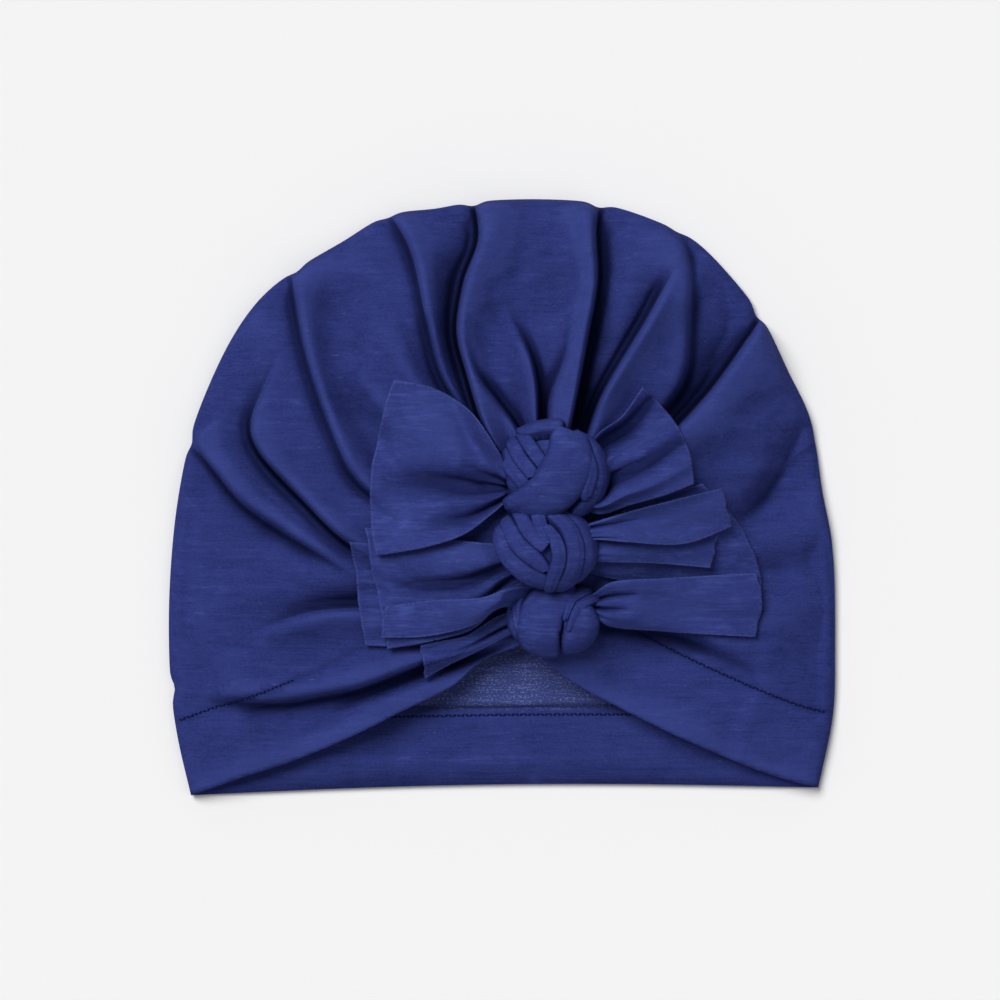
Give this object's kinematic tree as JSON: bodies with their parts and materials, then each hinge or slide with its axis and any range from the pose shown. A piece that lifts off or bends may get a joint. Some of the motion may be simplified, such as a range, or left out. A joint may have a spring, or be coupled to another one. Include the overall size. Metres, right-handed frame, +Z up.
{
  "type": "turban headwrap",
  "caption": "Soft knit turban cap for a small child, laid flat, with a gathered front, a column of tied knots and fanned strip ends; the head goes in at the hemmed lower edge.",
  "frame": {"origin": "centre of the base of the bounding box, on the surface that the cap lies on", "axes": "+X to the right as seen from above with the hem towards the viewer, +Y from the hem to the top of the cap, +Z up from the surface"},
  "size_m": [0.2001, 0.1791, 0.0382],
  "materials": {
    "jersey": "navy blue slub cotton jersey, matt, with fine streaks across",
    "strips": "the same navy blue jersey in strips with raw cut ends"
  },
  "bodies": {
    "root": {"crown": "jersey", "knot_top": "strips", "knot_middle": "strips", "knot_bottom": "strips", "tail_left_top": "strips", "tail_left_middle": "strips", "tail_left_fold": "strips", "tail_left_back": "strips", "tail_left_bottom": "strips", "tail_right_top": "strips", "tail_right_middle": "strips", "tail_right_lower": "strips", "tail_right_back": "strips", "tail_right_bottom": "strips"}
  },
  "joints": []
}
